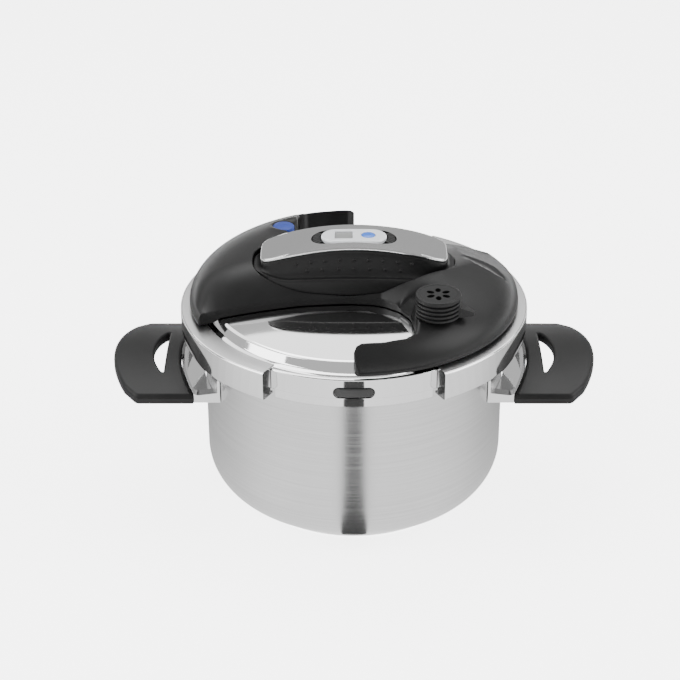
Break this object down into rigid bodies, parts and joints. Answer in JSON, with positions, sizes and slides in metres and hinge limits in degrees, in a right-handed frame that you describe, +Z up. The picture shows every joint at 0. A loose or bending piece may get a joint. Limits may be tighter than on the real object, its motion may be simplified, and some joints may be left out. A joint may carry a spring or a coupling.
{
  "type": "pressure cooker",
  "caption": "Stovetop pressure cooker: round steel pot, two side handles, domed lid held by sliding side jaws, pull-up top handle with lift-out timer and a ribbed steam valve knob.",
  "frame": {"origin": "on the pot's axis at the underside of its base disc", "axes": "+Z up along the pot axis, +X through the right side handle, -Y towards the front with the valve knob"},
  "size_m": [0.362, 0.2436, 0.2108],
  "materials": {
    "pot_steel": "satin brushed stainless steel",
    "base_steel": "turned stainless steel",
    "lid_mirror_steel": "mirror-polished stainless steel",
    "jaw_chrome": "polished stainless steel, satin on the top flange",
    "guard_chrome": "polished steel",
    "trim_chrome": "satin chrome",
    "cover_plastic": "fine-textured black moulded plastic",
    "handle_plastic": "satin black phenolic plastic",
    "knob_plastic": "matt black plastic",
    "gasket_rubber": "dark grey silicone rubber",
    "timer_black": "textured black plastic",
    "timer_white": "gloss white plastic",
    "display_grey": "grey liquid-crystal display",
    "timer_blue": "bright blue plastic",
    "release_blue": "dark blue plastic",
    "valve_brass": "turned brass",
    "fitting_steel": "stamped and turned steel"
  },
  "bodies": {
    "root": {"pot_body": "pot_steel", "base_disc": "base_steel", "right_side_handle": "handle_plastic", "left_side_handle": "handle_plastic", "right_handle_guard": "guard_chrome", "left_handle_guard": "guard_chrome", "right_handle_screw": "fitting_steel", "left_handle_screw": "fitting_steel"},
    "lid": {"lid_shell": "lid_mirror_steel", "lid_gasket": "gasket_rubber", "gasket_tab": "gasket_rubber", "top_cover": "cover_plastic", "right_cover_post": "fitting_steel", "left_cover_post": "fitting_steel", "right_cover_screw": "fitting_steel", "left_cover_screw": "fitting_steel", "guide_post": "fitting_steel", "guide_nut": "fitting_steel", "valve_body": "valve_brass", "valve_nut": "fitting_steel", "safety_valve": "valve_brass", "safety_valve_nut": "fitting_steel", "button_guide": "fitting_steel", "button_spring": "fitting_steel"},
    "handle": {"handle_body": "handle_plastic", "handle_trim": "trim_chrome", "left_timer_clip": "timer_black", "right_timer_clip": "timer_black", "lift_wedge": "fitting_steel", "rear_wedge_screw": "fitting_steel", "front_wedge_screw": "fitting_steel"},
    "right_jaw": {"right_jaw": "jaw_chrome", "right_jaw_arm": "fitting_steel"},
    "left_jaw": {"left_jaw": "jaw_chrome", "left_jaw_arm": "fitting_steel"},
    "timer": {"timer_case": "timer_black", "timer_battery": "fitting_steel", "timer_battery_cover": "timer_black", "timer_face": "timer_white", "timer_display": "display_grey"},
    "timer_button": {"timer_button": "timer_blue"},
    "release_button": {"release_button": "release_blue"},
    "valve": {"valve_knob": "knob_plastic", "valve_pointer": "knob_plastic"},
    "pressure_pin": {"pressure_pin": "fitting_steel"}
  },
  "joints": [
    {"name": "lid_lift", "type": "slide", "parent": "root", "child": "lid", "axis": [0, 0, 1], "range_m": [0, 0.08]},
    {"name": "handle_rise", "type": "slide", "parent": "lid", "child": "handle", "axis": [0, 0, 1], "range_m": [0, 0.004]},
    {"name": "right_jaw_slide", "type": "slide", "parent": "lid", "child": "right_jaw", "axis": [1, 0, 0], "range_m": [0, 0.006]},
    {"name": "left_jaw_slide", "type": "slide", "parent": "lid", "child": "left_jaw", "axis": [-1, 0, 0], "range_m": [0, 0.006]},
    {"name": "release_press", "type": "slide", "parent": "lid", "child": "release_button", "axis": [0, 0, -1], "range_m": [0, 0.003], "stiffness_N_per_m": 400, "deforming": ["button_spring"]},
    {"name": "valve_turn", "type": "hinge", "parent": "lid", "child": "valve", "pos_m": [0.059, -0.076, 0.19], "axis": [0, 0, 1], "range_deg": [-40, 0]},
    {"name": "pressure_pin_rise", "type": "slide", "parent": "lid", "child": "pressure_pin", "axis": [0, 0, 1], "range_m": [0, 0.003]},
    {"name": "timer_lift", "type": "slide", "parent": "handle", "child": "timer", "axis": [0, 0, 1], "range_m": [0, 0.03]},
    {"name": "timer_button_press", "type": "slide", "parent": "timer", "child": "timer_button", "axis": [0, 0, -1], "range_m": [0, 0.0008], "stiffness_N_per_m": 300}
  ],
  "couplings": [
    {"joint": "right_jaw_slide", "follows": "handle_rise", "ratio": 1.5},
    {"joint": "left_jaw_slide", "follows": "handle_rise", "ratio": 1.5}
  ]
}
